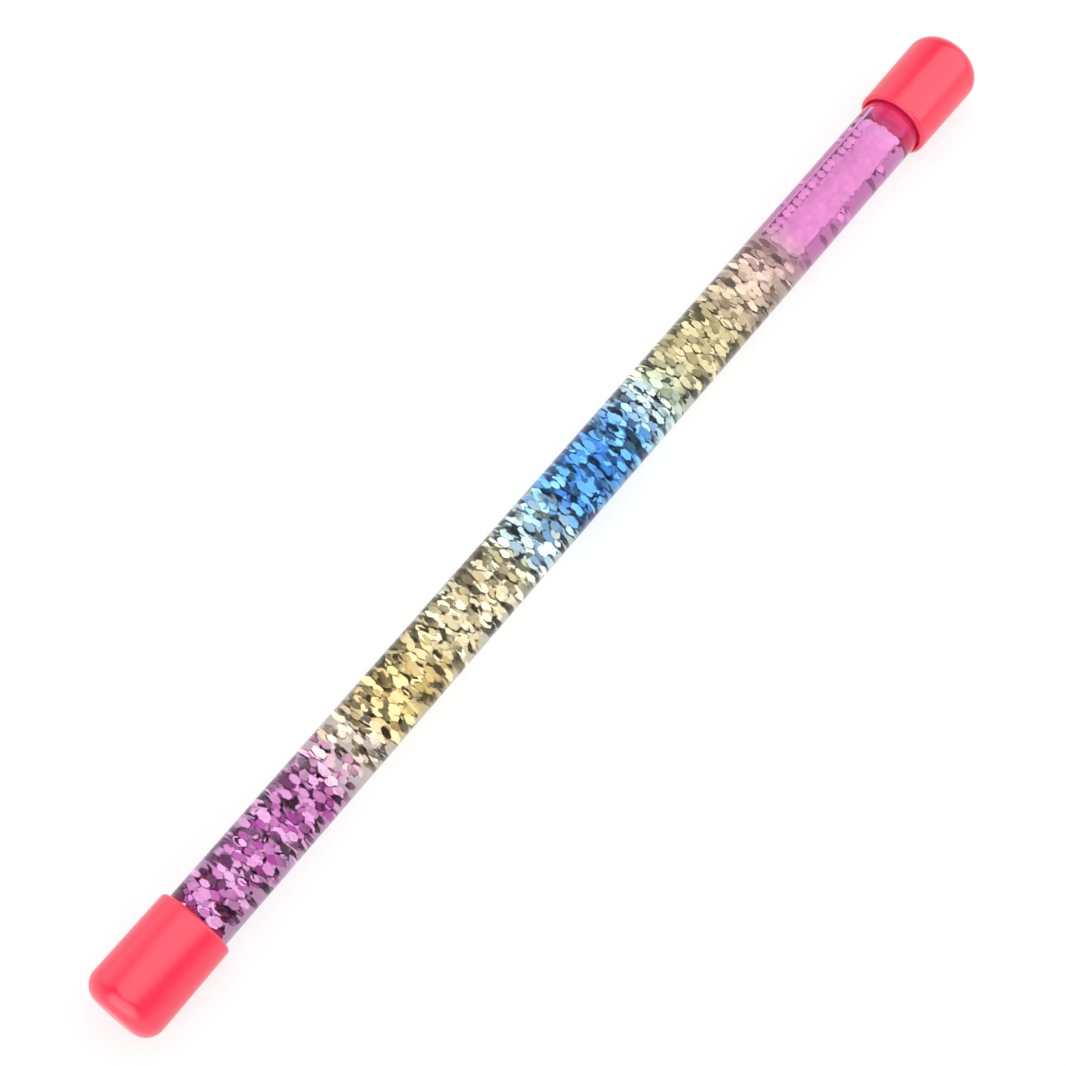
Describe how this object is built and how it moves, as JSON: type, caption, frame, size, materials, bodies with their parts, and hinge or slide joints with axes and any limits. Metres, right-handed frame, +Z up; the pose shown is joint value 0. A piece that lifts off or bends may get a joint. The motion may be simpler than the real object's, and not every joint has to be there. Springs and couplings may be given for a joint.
{
  "type": "toy magic wand",
  "caption": "Toy magic wand: a sealed clear tube of liquid and glitter, tinted in rainbow bands, with a red-pink cap on each end and an air bubble that stays on top as the wand rolls.",
  "frame": {"origin": "on the surface the wand lies on, under the middle of its length", "axes": "+X along the wand toward the end with the air bubble, +Z up"},
  "size_m": [0.3132, 0.0194, 0.0193],
  "materials": {
    "clear_tube": "clear, glossy extruded tube",
    "tint_film": "clear film printed in soft bands of violet, gold, blue, gold and pink",
    "liquid": "clear liquid",
    "glitter_foil": "bright mirror foil",
    "red_plug": "satin",
    "clear_glue": "clear set glue",
    "red_cap": "satin"
  },
  "bodies": {
    "shell": {"tube": "clear_tube", "tint_film": "tint_film", "lower_plug": "red_plug", "upper_plug": "red_plug", "lower_glue_ring": "clear_glue", "upper_glue_ring": "clear_glue", "lower_cap": "red_cap", "upper_cap": "red_cap"},
    "fill": {"liquid": "liquid", "glitter_violet": "glitter_foil", "glitter_gold": "glitter_foil", "glitter_blue": "glitter_foil", "glitter_olive": "glitter_foil", "glitter_peach": "glitter_foil", "glitter_pink": "glitter_foil", "floating_glitter": "glitter_foil"}
  },
  "joints": [
    {"name": "fill_swirl", "type": "hinge", "parent": "shell", "child": "fill", "pos_m": [0, 0, 0.00967], "axis": [1, 0, 0], "continuous": true}
  ]
}
